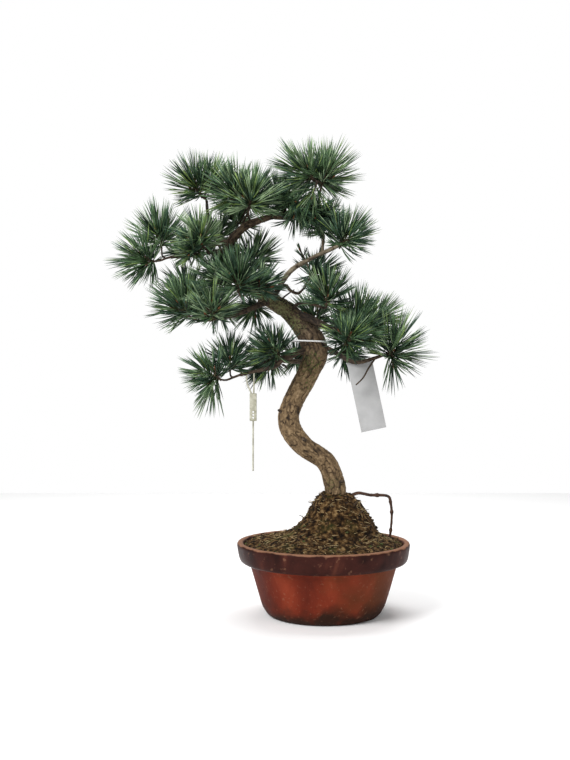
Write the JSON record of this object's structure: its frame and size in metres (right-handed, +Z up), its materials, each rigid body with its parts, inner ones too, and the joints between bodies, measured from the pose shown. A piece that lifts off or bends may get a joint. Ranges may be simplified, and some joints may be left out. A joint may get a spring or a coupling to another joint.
{
  "type": "japanese white pine bonsai",
  "caption": "Potted bonsai pine with a twisting trunk, tufted needle masses on thin boughs, mounded soil and a round clay pot.",
  "frame": {"origin": "middle of the pot's flat underside", "axes": "+Z up along the pot's axis, -Y towards the viewer of the picture, +X to the viewer's right"},
  "size_m": [0.4381, 0.2744, 0.6616],
  "materials": {
    "clay_pot": "red-brown clay body, dark purple-brown glazed rim, worn",
    "potting_soil": "rough brown peat with straw fibres and moss",
    "trunk_bark": "flaky grey-brown bark with green moss patches",
    "bough_bark": "dark rough bark",
    "needles": "blue-green pine needles",
    "dead_root_bark": "dry dark root",
    "tag_card": "plain pale grey card, blank",
    "tie_plastic": "white plastic",
    "label_plastic": "off-white plastic"
  },
  "bodies": {
    "root": {"pot": "clay_pot", "soil": "potting_soil", "trunk": "trunk_bark", "bough_high_right": "bough_bark", "bough_right_leader": "bough_bark", "twig_curly": "bough_bark", "twig_middle": "bough_bark", "bough_right": "bough_bark", "bough_low_right": "bough_bark", "twig_bare": "bough_bark", "bough_low_left": "bough_bark", "bough_middle_left": "bough_bark", "bough_far_left": "bough_bark", "bough_upper_left": "bough_bark", "bough_back_right": "bough_bark", "bough_back_left": "bough_bark", "bough_back_low": "bough_bark", "needles_far_left": "needles", "needles_upper_left": "needles", "needles_inner_left": "needles", "needles_inner_back": "needles", "needles_crown_centre": "needles", "needles_trunk_tip": "needles", "needles_crown_right": "needles", "needles_high_right": "needles", "needles_inner_right": "needles", "needles_middle_right": "needles", "needles_right": "needles", "needles_far_right": "needles", "needles_under_right": "needles", "needles_inner_low_left": "needles", "needles_low_left": "needles", "needles_middle_left": "needles", "needles_centre_front": "needles", "needles_centre": "needles", "needles_elbow": "needles", "needles_back_centre": "needles", "needles_back_top": "needles", "needles_back_right": "needles", "needles_back_left": "needles", "needles_back_low": "needles", "dead_root": "dead_root_bark", "swing_tag": "tag_card", "trunk_tie": "tie_plastic", "hanging_label": "label_plastic"}
  },
  "joints": []
}
